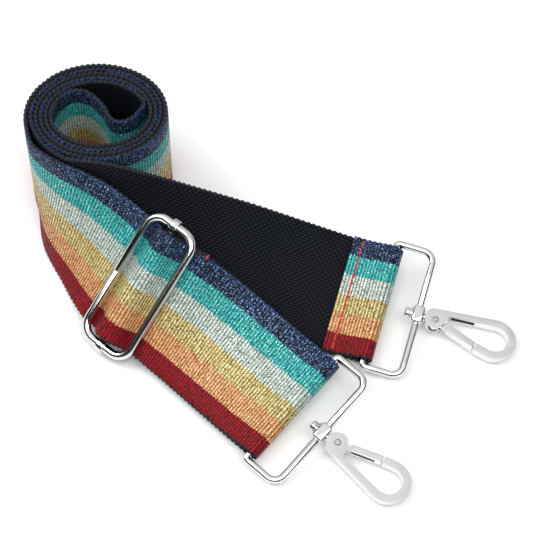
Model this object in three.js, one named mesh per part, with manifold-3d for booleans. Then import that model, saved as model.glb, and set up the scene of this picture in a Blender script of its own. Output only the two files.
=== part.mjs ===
// Wide webbing shoulder strap for a travel bag: one long webbing, rolled up on edge from its middle,
// with a slider, and a rectangular ring with a swivelling snap hook at each end.
// Millimetres, +Z up. The floor is z = 0. Both arms leave the roll towards -Y and +X.
import * as THREE from 'three';
import { mergeVertices } from 'three/addons/utils/BufferGeometryUtils.js';
import Module from 'manifold-3d';

const wasm = await Module();
wasm.setup();

// ---- driving dimensions ----
const webWidth = 50;
const webThickness = 1.5;
const layerPitch = 2;              // from one layer of the roll to the next
const rollCentre = [-67.2, 41.4];
const rollRadius = 26.9;            // mean radius of arm A's spiral where it passes the left side last
const leftPass = 900;              // the spiral's angle there, in degrees
const rollStretch = 2.1;            // the roll is this much wider in X, and narrower in Y, than round
const rollStep = 2.8;              // between the stations along the roll
const layerHeight = 0.95;          // the middle of a layer that lies on the floor
const foldGap = 0.35;              // between a bar and the webbing that wraps it
const threadWidth = 0.8;
const threadHeight = 0.2;
const stitchClear = 1.02;          // from the middle of a layer to the middle of the thread on it

const wire = 3;                  // diameter of the ring wire
const ringInnerWidth = 51.4;
const ringReach = 16;              // from the bar in the webbing's fold to the outer bar
const bossLength = 7.4;
const bossDepth = 4.8;
const bossHeight = 4.8;
const postRadius = 1.25;
const postClearance = 0.25;
const headRadius = 2.2;
const headHeight = 1.9;
const washerThickness = 0.5;
const runningGap = 0.3;

const hookThickness = 3.6;
const plateRadius = 4.5;           // the rounded plate at the hook's base
const loopRadius = 7.2;            // middle of the bar round the hook's end
const loopCentre = [28.9, 1.6];
const barWidth = 3.2;
const gateThickness = 1.2;         // of the gate's eye, in the plate's slot
const gateOffset = -0.3;
const springHeight = 0.5;
const springOffset = 0.7;
const slotWidth = 2.4;
const pinRadius = 0.9;
const noseLength = 5;              // straight part of the nose beyond the hook's round end
const gateEndGap = 0.5;
const ringDropA = 6.5;               // degrees below the webbing's own slope
const ringDropB = 6.9;
const hookRollA = -9;             // degrees round the post, so that the hook lies flat on the floor
const hookRollB = -10;

const sliderWire = 3.6;            // of the frame
const sliderRod = 3;               // of the bar across it
const sliderLength = 60.2;          // outside, across the webbing
const sliderWidth = 26.2;          // outside, along the webbing
const sliderCorner = 6.4;          // to the middle of the wire
const sliderAt = 63.7;              // along arm A, from where it clears the roll
const sliderPlane = 8.1;           // the middle of its wire, above the arm's base plane
const collarBore = 2.05;
const collarWall = 0.9;
const collarLength = 2.6;

const webbingLook = { color: 0x2f8f98, roughness: 0.8, metalness: 0 };
const threadLook = { color: 0xc8481c, roughness: 0.7, metalness: 0 };
const nickelLook = { color: 0xd8d8da, roughness: 0.12, metalness: 1 };
const steelLook = { color: 0xb9bcc0, roughness: 0.3, metalness: 1 };

// ---- small helpers ----
const radians = THREE.MathUtils.degToRad;
const vec = (x, y, z) => new THREE.Vector3(x, y, z);
const part = new THREE.Group();

function addPiece(name, geometry, look, parent = part) {
  const mesh = new THREE.Mesh(geometry, new THREE.MeshStandardMaterial(look));
  mesh.name = name;
  parent.add(mesh);
  return mesh;
}

function toSolid(geometry) {
  const bare = geometry.index ? geometry.toNonIndexed() : geometry.clone();
  bare.deleteAttribute('normal');
  bare.deleteAttribute('uv');
  const merged = mergeVertices(bare, 1e-4);
  return new wasm.Manifold(new wasm.Mesh({
    numProp: 3,
    vertProperties: new Float32Array(merged.attributes.position.array),
    triVerts: new Uint32Array(merged.index.array),
  }));
}

function toGeometry(solid) {
  const mesh = solid.getMesh();
  const geometry = new THREE.BufferGeometry();
  geometry.setAttribute('position', new THREE.BufferAttribute(mesh.vertProperties, 3));
  geometry.setIndex(new THREE.BufferAttribute(mesh.triVerts, 1));
  geometry.computeVertexNormals();
  return geometry;
}

function cylinder(radius, length, sides, centre, axis) {
  const geometry = new THREE.CylinderGeometry(radius, radius, length, sides);
  const turn = new THREE.Quaternion().setFromUnitVectors(vec(0, 1, 0), axis.clone().normalize());
  return geometry.applyQuaternion(turn).translate(centre.x, centre.y, centre.z);
}

function block(sizeX, sizeY, sizeZ, x, y, z) {
  return new THREE.BoxGeometry(sizeX, sizeY, sizeZ).translate(x, y, z);
}

// Points down the middle of a wire in the XY plane: straight runs with an arc at each inner corner.
function cornered(points, radii, arcSteps) {
  const out = [points[0].clone()];
  for (let i = 1; i < points.length - 1; i += 1) {
    const before = points[i - 1].clone().sub(points[i]).normalize();
    const after = points[i + 1].clone().sub(points[i]).normalize();
    const half = before.angleTo(after) / 2;
    const trim = radii[i - 1] / Math.tan(half);
    const bisector = before.clone().add(after).normalize();
    const centre = points[i].clone().addScaledVector(bisector, radii[i - 1] / Math.sin(half));
    const start = points[i].clone().addScaledVector(before, trim).sub(centre);
    const end = points[i].clone().addScaledVector(after, trim).sub(centre);
    const turn = start.angleTo(end);
    const axis = start.clone().cross(end).normalize();
    for (let k = 0; k <= arcSteps; k += 1) {
      out.push(start.clone().applyAxisAngle(axis, turn * k / arcSteps).add(centre));
    }
  }
  out.push(points[points.length - 1].clone());
  return out;
}

// A round wire through given points, with a section square to the path at each one.
function wireThrough(points, diameter, sides = 10) {
  const rings = points.map((point, i) => {
    const before = points[Math.max(i - 1, 0)];
    const after = points[Math.min(i + 1, points.length - 1)];
    const along = after.clone().sub(before).normalize();
    const across = along.clone().cross(vec(0, 0, 1)).normalize();
    const ring = [];
    for (let k = 0; k < sides; k += 1) {
      const angle = (k / sides) * Math.PI * 2;
      ring.push(point.clone()
        .addScaledVector(across, Math.cos(angle) * diameter / 2)
        .addScaledVector(vec(0, 0, 1), Math.sin(angle) * diameter / 2));
    }
    return ring;
  });
  return loft(rings);
}

// A closed solid through rings of points, which all have the same number of points.
function loft(rings) {
  const sides = rings[0].length;
  const positions = [];
  const index = [];
  rings.flat().forEach((p) => positions.push(p.x, p.y, p.z));
  for (let i = 0; i < rings.length - 1; i += 1) {
    for (let k = 0; k < sides; k += 1) {
      const a = i * sides + k;
      const b = i * sides + (k + 1) % sides;
      index.push(a, a + sides, b, b, a + sides, b + sides);
    }
  }
  const last = (rings.length - 1) * sides;
  for (let k = 1; k < sides - 1; k += 1) {
    index.push(0, k, k + 1);
    index.push(last, last + k + 1, last + k);
  }
  const geometry = new THREE.BufferGeometry();
  geometry.setAttribute('position', new THREE.Float32BufferAttribute(positions, 3));
  geometry.setIndex(index);
  if (toSolid(geometry).volume() > 0) return toGeometry(toSolid(geometry));
  // The rings ran the other way round, so the faces are turned over.
  geometry.setIndex(index.reverse());
  return toGeometry(toSolid(geometry));
}

// ---- the webbing's route ----
// An arm runs along a plan curve from the roll to its fold. The webbing stands on edge in the roll and
// leans back towards flat on the way. frame(s) gives the middle, the way along, the way across towards
// the blue edge, and the normal, at a distance s past the plan point numbered zeroPoint.
// Where the slider sits the lean stays the same for flatRun, because its bars are straight.
function makeArm({ plan, zeroPoint, leanEnd, leanFrom, leanSpan, lift, flatFrom = 0, flatRun = 0 }) {
  const curve = new THREE.CatmullRomCurve3(plan.map(([x, y]) => vec(x, y, 0)), false, 'centripetal');
  curve.arcLengthDivisions = 600;
  const whole = curve.getLength();
  const zero = curve.getLengths()[Math.round(600 * zeroPoint / (plan.length - 1))];
  const length = whole - zero;
  const lean = (s) => {
    const twisted = s - THREE.MathUtils.clamp(s - flatFrom, 0, flatRun);
    const run = Math.max(twisted - leanFrom, 0) / leanSpan;
    return radians(leanEnd + (90 - leanEnd) / (1 + run ** 1.5));
  };
  const frame = (s) => {
    const t = THREE.MathUtils.clamp((s + zero) / whole, 0, 1);
    const along = curve.getTangentAt(t);
    const middle = curve.getPointAt(t);
    middle.addScaledVector(along, s + zero - t * whole);
    const angle = lean(s);
    const level = vec(-along.y, along.x, 0);
    const across = level.clone().multiplyScalar(Math.cos(angle)).add(vec(0, 0, Math.sin(angle)));
    middle.z = webWidth / 2 * Math.sin(angle) + lift * THREE.MathUtils.smoothstep(s, 0, length);
    const normal = along.clone().cross(across);
    return { middle, along, across, normal };
  };
  return { length, start: -zero, frame };
}

// The two arms' spirals lie one layer apart and turn anticlockwise outwards.
function spiral(radiusOnLeft, degrees) {
  const angle = radians(degrees);
  const radius = radiusOnLeft + 2 * layerPitch * (degrees - leftPass) / 360;
  return [
    rollCentre[0] + (radius + rollStretch) * Math.cos(angle),
    rollCentre[1] + (radius - rollStretch) * Math.sin(angle),
  ];
}

function spiralRun(radiusOnLeft, from, to, step) {
  const out = [];
  const count = Math.round(Math.abs(to - from) / step);
  for (let i = 0; i <= count; i += 1) {
    out.push(spiral(radiusOnLeft, from + (to - from) * i / count));
  }
  return out;
}

// The webbing's middle crosses the core in an S, given from the roll's centre.
const core = [[-7.7, 11.3], [-3.6, 9.6], [-0.2, 6.3], [2.6, 2.4], [4.1, -1.1], [6.3, -3.5], [9.6, -4.1],
  [13.5, -2.4], [16.4, 1.2]]
  .map(([x, y]) => [rollCentre[0] + x, rollCentre[1] + y]);
const radiusA = rollRadius;
const radiusB = rollRadius - layerPitch;

const armA = makeArm({
  plan: [...spiralRun(radiusA, 870, 915, 15), [-91.9, 25.4], [-84.2, 13.5], [-69.3, 0.2],
    [-46.8, -19.8], [-17.8, -44.3], [10, -69.3]],
  zeroPoint: 4, leanEnd: -15.7, leanFrom: -3, leanSpan: 51.6, lift: 1.2,
  flatFrom: sliderAt - 15, flatRun: 30,
});
const armB = makeArm({
  plan: [...spiralRun(radiusB, 930, 960, 15), [-70.2, 15.9], [-48.3, 3.9], [-5, -7.8],
    [45.2, -22.6]],
  zeroPoint: 2, leanEnd: -8.4, leanFrom: 1.7, leanSpan: 49.7, lift: 1.2,
});

const foldRadius = wire / 2 + foldGap + webThickness / 2;
const ringBarHeight = layerHeight + foldRadius;
const tabRadius = sliderRod / 2 + foldGap + webThickness / 2;
const overRadius = tabRadius + layerPitch;

// Points of an arc in an arm's own plane, as distance along and height.
function arc(centreS, centreH, radius, from, to, count) {
  const out = [];
  for (let i = 0; i <= count; i += 1) {
    const angle = radians(from + (to - from) * i / count);
    out.push([centreS + radius * Math.cos(angle), centreH + radius * Math.sin(angle)]);
  }
  return out;
}

// A smooth line through [distance, height] points, sampled about every step.
function smoothLine(points, step) {
  const curve = new THREE.CatmullRomCurve3(points.map(([s, h]) => vec(s, h, 0)), false, 'centripetal');
  curve.arcLengthDivisions = 800;
  const count = Math.ceil(curve.getLength() / step);
  return curve.getSpacedPoints(count).map((p) => [p.x, p.y]);
}

// Places [distance, height] points of an arm in space, each with its way across.
function onArm(arm, points) {
  return points.map(([s, h]) => {
    const f = arm.frame(s);
    return { point: f.middle.clone().addScaledVector(f.normal, h), across: f.across };
  });
}

function webbingRoute() {
  const b = armB.length;
  const endTab = [[b - 17, 2 * layerHeight + 1.15], [b - 12, 2 * layerHeight + 1.2], [b - 6, 4.4]];
  const underB = [[b - 8, layerHeight], [b - 40, layerHeight], [b - 90, layerHeight], [10, layerHeight],
    [0, 0.5], [armB.start, 0]];
  const armBPoints = [
    ...smoothLine([...endTab, ...arc(b, ringBarHeight, foldRadius, 90, -90, 6), ...underB.slice(0, 1)], 1.6),
    ...smoothLine(underB, 4).slice(1),
  ];
  const rollPlan = [...spiralRun(radiusB, 930, 130, 20), ...core, ...spiralRun(radiusA, 20, 870, 20)];
  const rollCurve = new THREE.CatmullRomCurve3(rollPlan.map(([x, y]) => vec(x, y, webWidth / 2)), false,
    'centripetal');
  rollCurve.arcLengthDivisions = 3000;
  const rollStations = rollCurve.getSpacedPoints(Math.round(rollCurve.getLength() / rollStep))
    .map((point) => ({ point, across: vec(0, 0, 1) }));
  const a = armA.length;
  const c = sliderAt;
  const beforeSlider = [[armA.start, 0], [-14, 0], [4, layerHeight], [c - 34, layerHeight],
    [c - 24, 2.2], [c - 16, 4.4]];
  const hump = [[c - 11.3, 5], [c - 8.4, 5.3], [c - 6.2, 6.8],
    ...arc(c, sliderPlane, overRadius, 150, 30, 6), [c + 6.2, 6.8], [c + 8.4, 5.3], [c + 11.3, 5]];
  const afterSlider = [[c + 17.5, 5], [c + 25, 3.6], [c + 34, 3], [a - 22, 3], [a - 10, 4.2], [a - 4, 5.6]];
  const returning = [[a - 8, layerHeight], [a - 40, layerHeight], [c + 20, layerHeight],
    [c + 10, layerHeight], [c + 6.5, 1.5], [c + 3.4, 3.8], ...arc(c, sliderPlane, tabRadius, 270, 30, 10),
    [c + 4.3, 5.9], [c + 6.6, 3.9], [c + 9.5, 2.95], [c + 13, 2.95], [c + 17, 2.95]];
  const armAPoints = [
    ...smoothLine(beforeSlider, 4),
    ...smoothLine([beforeSlider.at(-1), ...hump, afterSlider[0]], 1.8).slice(1),
    ...smoothLine(afterSlider, 4).slice(1),
    ...smoothLine([afterSlider.at(-1), ...arc(a, ringBarHeight, foldRadius, 90, -90, 6), returning[0]], 1.6)
      .slice(1),
    ...smoothLine(returning, 2.2).slice(1),
  ];
  return [...onArm(armB, armBPoints), ...rollStations.slice(1), ...onArm(armA, armAPoints).slice(1)];
}

function buildWebbing() {
  const route = webbingRoute();
  const rings = route.map(({ point, across }, i) => {
    const before = route[Math.max(i - 1, 0)].point;
    const after = route[Math.min(i + 1, route.length - 1)].point;
    const along = after.clone().sub(before).normalize();
    const normal = along.clone().cross(across).normalize();
    const half = across.clone().multiplyScalar(webWidth / 2);
    const thick = normal.multiplyScalar(webThickness / 2);
    return [[-1, -1], [1, -1], [1, 1], [-1, 1]].map(([u, v]) => point.clone()
      .addScaledVector(half, u).addScaledVector(thick, v));
  });
  addPiece('webbing', loft(rings), webbingLook);
}

// A stitched row is a thin thread lying just clear of the webbing's face.
function buildStitching(name, arm, s, height) {
  const count = 6;
  const inset = 3;
  const rings = [];
  for (let i = 0; i <= count; i += 1) {
    const f = arm.frame(s);
    const middle = f.middle.clone().addScaledVector(f.normal, height)
      .addScaledVector(f.across, -webWidth / 2 + inset + (webWidth - 2 * inset) * i / count);
    rings.push([[-1, -1], [1, -1], [1, 1], [-1, 1]].map(([u, v]) => middle.clone()
      .addScaledVector(f.along, u * threadWidth / 2).addScaledVector(f.normal, v * threadHeight / 2)));
  }
  addPiece(name, loft(rings), threadLook);
}

// ---- the slider: a bent wire frame with a butt joint, and a bar between its short sides ----
function buildSlider() {
  const f = armA.frame(sliderAt);
  const group = new THREE.Group();
  // Local x runs along the arm, y across it towards the blue edge, z up from its face.
  const basis = new THREE.Matrix4().makeBasis(f.along, f.across, f.normal);
  group.quaternion.setFromRotationMatrix(basis);
  group.position.copy(f.middle).addScaledVector(f.normal, sliderPlane);
  part.add(group);
  const x = (sliderWidth - sliderWire) / 2;
  const y = (sliderLength - sliderWire) / 2;
  const gap = 0.15;
  const corners = [vec(-x, gap, 0), vec(-x, y, 0), vec(x, y, 0), vec(x, -y, 0), vec(-x, -y, 0),
    vec(-x, -gap, 0)];
  const path = cornered(corners, Array(4).fill(sliderCorner), 6);
  addPiece('slider_frame', wireThrough(path, sliderWire), nickelLook, group);
  // The bar's ends are collars round the frame's short sides.
  const reach = y - collarBore - 0.2;
  let bar = toSolid(cylinder(sliderRod / 2, 2 * reach, 12, vec(0, 0, 0), vec(0, 1, 0)));
  [-1, 1].forEach((side) => {
    const centre = vec(0, side * y, 0);
    const outside = toSolid(cylinder(collarBore + collarWall, collarLength, 16, centre, vec(1, 0, 0)));
    const inside = toSolid(cylinder(collarBore, collarLength + 1, 16, centre, vec(1, 0, 0)));
    bar = bar.add(outside).subtract(inside);
  });
  addPiece('slider_centre_bar', toGeometry(bar), nickelLook, group);
}

// ---- a ring with its swivelling snap hook ----
// Local x runs away from the webbing, y towards the blue edge, z up; the origin is the fold's axis.
function buildRingAndHook(arm, letter, drop, hookRoll, gateSide) {
  const f = arm.frame(arm.length);
  const ring = new THREE.Group();
  const flat = new THREE.Matrix4().makeBasis(f.along, f.across, f.normal);
  ring.quaternion.setFromRotationMatrix(flat);
  ring.quaternion.multiply(new THREE.Quaternion().setFromAxisAngle(vec(0, 1, 0), radians(drop)));
  ring.position.copy(f.middle).addScaledVector(f.normal, ringBarHeight);
  part.add(ring);
  const y = (ringInnerWidth + wire) / 2;
  const corners = [vec(ringReach, 1, 0), vec(ringReach, y, 0), vec(0, y, 0), vec(0, -y, 0),
    vec(ringReach, -y, 0), vec(ringReach, -1, 0)];
  const path = cornered(corners, [4.6, 1.7, 1.7, 4.6], 5);
  const boss = toSolid(block(bossDepth, bossLength, bossHeight, ringReach, 0, 0));
  const bore = toSolid(cylinder(postRadius + postClearance, bossDepth + 2, 16, vec(ringReach, 0, 0),
    vec(1, 0, 0)));
  const frame = toSolid(wireThrough(path, wire)).add(boss).subtract(bore);
  addPiece(`ring_${letter}`, toGeometry(frame), nickelLook, ring);

  const inner = ringReach - bossDepth / 2 - runningGap;
  const outer = ringReach + bossDepth / 2 + runningGap;
  const washer = toSolid(cylinder(headRadius + 0.5, washerThickness, 20,
    vec(inner - washerThickness / 2, 0, 0), vec(1, 0, 0)))
    .subtract(toSolid(cylinder(postRadius + postClearance, 4, 16, vec(inner, 0, 0), vec(1, 0, 0))));
  const headEnd = inner - washerThickness - runningGap;
  const hook = new THREE.Group();
  hook.quaternion.setFromAxisAngle(vec(1, 0, 0), radians(hookRoll));
  ring.add(hook);
  addPiece(`swivel_washer_${letter}`, toGeometry(washer), nickelLook, hook);
  const postEnd = outer + 1.2;
  const post = toSolid(new THREE.LatheGeometry([
    [0, headEnd - headHeight], [headRadius * 0.7, headEnd - headHeight],
    [headRadius, headEnd - headHeight + 0.6], [headRadius, headEnd], [postRadius, headEnd],
    [postRadius, postEnd], [0, postEnd],
  ].map(([r, s]) => new THREE.Vector2(r, s)), 16).rotateZ(-Math.PI / 2));
  addPiece(`swivel_post_${letter}`, toGeometry(post), nickelLook, hook);
  buildHook(letter, hook, outer, postEnd, gateSide);
}

// The hook's outline in its own plane: u away from the ring, v to the gate's side.
function hookOutline() {
  const [cu, cv] = loopCentre;
  const outside = loopRadius + barWidth / 2;
  const inside = loopRadius - barWidth / 2;
  const shape = new THREE.Shape();
  const spineAngle = 262;
  const noseAngle = 106;
  const at = (radius, degrees) => [cu + radius * Math.cos(radians(degrees)),
    cv + radius * Math.sin(radians(degrees))];
  const tangent = (degrees) => [-Math.sin(radians(degrees)), Math.cos(radians(degrees))];
  const [tu, tv] = tangent(noseAngle);
  const noseOut = at(outside, noseAngle);
  const noseIn = at(inside, noseAngle);
  arc(0, 0, plateRadius, 120, 250, 8).forEach(([u, v], i) => {
    if (i === 0) shape.moveTo(u + plateRadius, v);
    else shape.lineTo(u + plateRadius, v);
  });
  arc(cu, cv, outside, spineAngle, 360 + noseAngle, 16).forEach(([u, v]) => shape.lineTo(u, v));
  shape.lineTo(noseOut[0] + tu * noseLength, noseOut[1] + tv * noseLength);
  shape.lineTo(noseIn[0] + tu * noseLength, noseIn[1] + tv * noseLength);
  arc(cu, cv, inside, 360 + noseAngle, spineAngle, 14).forEach(([u, v]) => shape.lineTo(u, v));
  shape.lineTo(2 * plateRadius + 0.5, -2.6);
  shape.lineTo(2 * plateRadius - 0.5, 1.2);
  shape.lineTo(plateRadius + 1.6, plateRadius - 0.6);
  shape.closePath();
  const tip = [(noseOut[0] + noseIn[0]) / 2 + tu * noseLength, (noseOut[1] + noseIn[1]) / 2 + tv * noseLength];
  return { shape, tip };
}

function buildHook(letter, group, start, postEnd, gateSide) {
  const { shape, tip } = hookOutline();
  const turned = new THREE.Group();
  turned.position.set(start, 0, 0);
  if (gateSide < 0) turned.rotation.x = Math.PI;
  group.add(turned);
  const pivot = [plateRadius, 0.4];
  const pinAxis = vec(0, 0, 1);
  const pinCentre = vec(pivot[0], pivot[1], 0);
  const depth = hookThickness - 0.8;
  const blank = new THREE.ExtrudeGeometry(shape, {
    depth, bevelEnabled: true, bevelThickness: 0.4, bevelSize: 0.35, bevelOffset: -0.35, bevelSegments: 1,
    curveSegments: 1,
  }).translate(0, 0, -depth / 2);
  let body = toSolid(blank);
  // The gate's eye sits in a slot sawn through the plate's gate side, and the post ends in the plate.
  body = body.subtract(toSolid(block(12, 12, slotWidth, plateRadius + 3.9, 4.2, 0)));
  body = body.subtract(toSolid(cylinder(pinRadius + 0.12, 8, 16, pinCentre, pinAxis)));
  body = body.subtract(toSolid(cylinder(postRadius + 0.3, 2 * (postEnd - start) + 0.6, 16, vec(0, 0, 0),
    vec(1, 0, 0))));
  addPiece(`hook_body_${letter}`, toGeometry(body), nickelLook, turned);
  addPiece(`gate_pivot_pin_${letter}`, cylinder(pinRadius, hookThickness - 0.1, 16, pinCentre, pinAxis),
    steelLook, turned);
  buildGate(letter, turned, pivot, tip);
}

// The gate is a bar from its eye on the pin to the nose, and a wire spring bears on its tail.
function buildGate(letter, group, pivot, tip) {
  const eyeRadius = 2.1;
  const barStart = 5.5;
  const along = new THREE.Vector2(tip[0] - pivot[0], tip[1] - pivot[1]);
  const reach = along.length() - gateEndGap;
  const angle = along.angle();
  const gate = new THREE.Group();
  gate.position.set(pivot[0], pivot[1], 0);
  gate.rotation.z = angle;
  group.add(gate);
  const neck = block(6, 2.6, gateThickness, 3.4, 0, gateOffset);
  const bar = block(reach - barStart, barWidth - 0.2, hookThickness - 0.2, (reach + barStart) / 2, 0, 0);
  const eye = cylinder(eyeRadius, gateThickness, 20, vec(0, 0, gateOffset), vec(0, 0, 1));
  const bore = cylinder(pinRadius + 0.2, 6, 16, vec(0, 0, 0), vec(0, 0, 1));
  const solid = toSolid(eye).add(toSolid(neck)).add(toSolid(bar)).subtract(toSolid(bore));
  addPiece(`gate_${letter}`, toGeometry(solid), nickelLook, gate);
  // The torsion spring lies round the pin, between the gate's eye and the plate's upper cheek.
  const coil = toSolid(cylinder(eyeRadius - 0.2, springHeight, 18, vec(0, 0, springOffset), vec(0, 0, 1)))
    .subtract(toSolid(cylinder(pinRadius + 0.25, 2, 18, vec(0, 0, springOffset), vec(0, 0, 1))));
  addPiece(`gate_spring_${letter}`, toGeometry(coil), steelLook, gate);
}

buildWebbing();
buildStitching('end_tab_stitching', armB, armB.length - 13, 2 * layerHeight + 1.2 + stitchClear);
buildStitching('slider_tab_stitching', armA, sliderAt + 13, 2.95 + stitchClear);
buildSlider();
buildRingAndHook(armA, 'a', ringDropA, hookRollA, 1);
buildRingAndHook(armB, 'b', ringDropB, hookRollB, -1);

// The origin is on the floor, under the middle of the whole strap's box.
part.updateMatrixWorld(true);
const box = new THREE.Box3().setFromObject(part, true);
part.position.set(-(box.min.x + box.max.x) / 2, -(box.min.y + box.max.y) / 2, -box.min.z);
part.updateMatrixWorld(true);

export default part;
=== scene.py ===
"""A wide striped webbing strap, rolled up on edge, with a wire slider, two rings and two snap hooks.

Shapes are worked out in millimetres in the layout's own frame, whose floor is z = 0. The CAD part is the
same layout moved so that its box is centred, so every piece is shifted by that much and scaled to metres.
"""

import math

import bmesh
import bpy
from mathutils import Matrix, Vector


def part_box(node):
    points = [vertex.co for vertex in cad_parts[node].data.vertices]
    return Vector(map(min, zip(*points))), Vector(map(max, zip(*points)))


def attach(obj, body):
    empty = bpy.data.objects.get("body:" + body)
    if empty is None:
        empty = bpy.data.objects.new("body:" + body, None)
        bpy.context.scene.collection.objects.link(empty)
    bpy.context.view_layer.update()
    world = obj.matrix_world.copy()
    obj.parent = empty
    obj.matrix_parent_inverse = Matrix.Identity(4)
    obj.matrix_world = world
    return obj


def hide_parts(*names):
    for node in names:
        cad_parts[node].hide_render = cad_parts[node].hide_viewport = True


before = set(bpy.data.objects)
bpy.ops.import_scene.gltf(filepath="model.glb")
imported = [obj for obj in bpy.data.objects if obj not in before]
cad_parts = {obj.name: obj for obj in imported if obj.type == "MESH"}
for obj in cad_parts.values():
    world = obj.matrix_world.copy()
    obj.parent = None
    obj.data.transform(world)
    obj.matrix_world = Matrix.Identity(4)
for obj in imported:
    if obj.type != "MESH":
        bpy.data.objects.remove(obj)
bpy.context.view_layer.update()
MM = 0.001

# ---- the layout's driving dimensions, the same as the CAD part's ----
WEB_WIDTH = 50
LAYER_PITCH = 2
ROLL_CENTRE = Vector((-67.2, 41.4))
ROLL_RADIUS = 26.9
LEFT_PASS = 900
ROLL_STRETCH = 2.1
LAYER_HEIGHT = 0.95
RING_WIRE = 3
RING_INNER = 51.4
RING_REACH = 16
BOSS_LENGTH = 7.4
BOSS_DEPTH = 4.8
BOSS_HEIGHT = 4.8
RING_DROP = {"a": 6.5, "b": 6.9}      # degrees below the webbing's own slope
HOOK_ROLL = {"a": -9, "b": -10}       # degrees round the rivet, so that the hook lies on the floor
HOOK_THICKNESS = 3.6
PLATE_RADIUS = 4.5
LOOP_RADIUS = 7.2
LOOP_CENTRE = (28.9, 1.6)
BAR_WIDTH = 3.2
RUNNING_GAP = 0.3
SLIDER_WIRE = 3.6
SLIDER_ROD = 3
SLIDER_LENGTH = 60.2
SLIDER_WIDTH = 26.2
SLIDER_CORNER = 6.4
SLIDER_AT = 63.7
SLIDER_PLANE = 8.1
FOLD_RADIUS = RING_WIRE / 2 + 1.1
RING_BAR_HEIGHT = LAYER_HEIGHT + FOLD_RADIUS
TAB_RADIUS = SLIDER_ROD / 2 + 1.1
STITCH_RISE = 0.95         # from the middle of a tab to where its stitches start
STITCH_BEYOND_SLIDER = 13
STITCH_BEFORE_FOLD = 13
TAB_HEIGHT_A = 2.95
TAB_HEIGHT_B = 2 * LAYER_HEIGHT + 1.2

# ---- the webbing's looks ----
HALF_THICK = 0.86          # of the face and back, between the ribs
EDGE_RADIUS = 0.86
RIB_PITCH = 1.3
RIB_RISE = 0.07
ROPE_PITCH = 2.2
ROPE_RISE = 0.24
STATION = 0.325            # a quarter of a rib


# ---- curves ----
class Curve:
    """A centripetal Catmull-Rom curve through points, walked by its length."""

    def __init__(self, points, divisions=800):
        self.points = [Vector(p) for p in points]
        self.lengths = [0.0]
        here = self.at(0)
        for i in range(1, divisions + 1):
            there = self.at(i / divisions)
            self.lengths.append(self.lengths[-1] + (there - here).length)
            here = there
        self.length = self.lengths[-1]

    def at(self, t):
        points = self.points
        place = (len(points) - 1) * t
        i = min(int(place), len(points) - 2)
        f = place - i
        x1, x2 = points[i], points[i + 1]
        x0 = points[i - 1] if i > 0 else 2 * x1 - x2
        x3 = points[i + 2] if i + 2 < len(points) else 2 * x2 - x1
        d0, d1, d2 = (math.sqrt((b - a).length) for a, b in ((x0, x1), (x1, x2), (x2, x3)))
        t1 = ((x1 - x0) / d0 - (x2 - x0) / (d0 + d1) + (x2 - x1) / d1) * d1
        t2 = ((x2 - x1) / d1 - (x3 - x1) / (d1 + d2) + (x3 - x2) / d2) * d1
        square = -3 * x1 + 3 * x2 - 2 * t1 - t2
        cube = 2 * x1 - 2 * x2 + t1 + t2
        return x1 + t1 * f + square * f * f + cube * f * f * f

    def walked(self, distance):
        """The curve's own parameter at a distance along it."""
        low, high = 0, len(self.lengths) - 1
        while high - low > 1:
            middle = (low + high) // 2
            if self.lengths[middle] <= distance:
                low = middle
            else:
                high = middle
        step = self.lengths[high] - self.lengths[low]
        return (low + (distance - self.lengths[low]) / step) / (len(self.lengths) - 1)

    def spaced(self, step):
        count = math.ceil(self.length / step)
        return [self.at(self.walked(self.length * i / count)) for i in range(count + 1)]


def smoothstep(x, low, high):
    f = min(max((x - low) / (high - low), 0), 1)
    return f * f * (3 - 2 * f)


def spiral(radius_on_left, degrees):
    angle = math.radians(degrees)
    radius = radius_on_left + 2 * LAYER_PITCH * (degrees - LEFT_PASS) / 360
    return (
        ROLL_CENTRE.x + (radius + ROLL_STRETCH) * math.cos(angle),
        ROLL_CENTRE.y + (radius - ROLL_STRETCH) * math.sin(angle),
    )


def spiral_run(radius_on_left, start, end, step):
    count = round(abs(end - start) / step)
    return [spiral(radius_on_left, start + (end - start) * i / count) for i in range(count + 1)]


RADIUS_A = ROLL_RADIUS
RADIUS_B = ROLL_RADIUS - LAYER_PITCH
CORE = [
    (ROLL_CENTRE.x + x, ROLL_CENTRE.y + y)
    for x, y in (
        (-7.7, 11.3), (-3.6, 9.6), (-0.2, 6.3), (2.6, 2.4), (4.1, -1.1), (6.3, -3.5), (9.6, -4.1),
        (13.5, -2.4), (16.4, 1.2),
    )
]


class Arm:
    """One end of the webbing, from the roll to its fold: on edge at first, then leaning back to flat."""

    def __init__(self, plan, zero_point, lean_end, lean_from, lean_span, flat_from=0, flat_run=0):
        self.curve = Curve([(x, y, 0) for x, y in plan], 600)
        self.zero = self.curve.lengths[round(600 * zero_point / (len(plan) - 1))]
        self.length = self.curve.length - self.zero
        self.lean = (lean_end, lean_from, lean_span)
        self.flat = (flat_from, flat_run)

    def frame(self, s):
        """The middle, the ways along and across (to the blue edge), and the normal, s past the roll."""
        place = min(max(s + self.zero, 0), self.curve.length)
        t = self.curve.walked(place)
        ahead, behind = self.curve.at(min(t + 1e-4, 1)), self.curve.at(max(t - 1e-4, 0))
        along = (ahead - behind).normalized()
        middle = self.curve.at(t) + along * (s + self.zero - place)
        lean_end, lean_from, lean_span = self.lean
        flat_from, flat_run = self.flat
        twisted = s - min(max(s - flat_from, 0), flat_run)
        run = max(twisted - lean_from, 0) / lean_span
        angle = math.radians(lean_end + (90 - lean_end) / (1 + run**1.5))
        across = Vector((-along.y, along.x, 0)) * math.cos(angle) + Vector((0, 0, math.sin(angle)))
        middle.z = WEB_WIDTH / 2 * math.sin(angle) + 1.2 * smoothstep(s, 0, self.length)
        return middle, along, across, along.cross(across)


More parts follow.
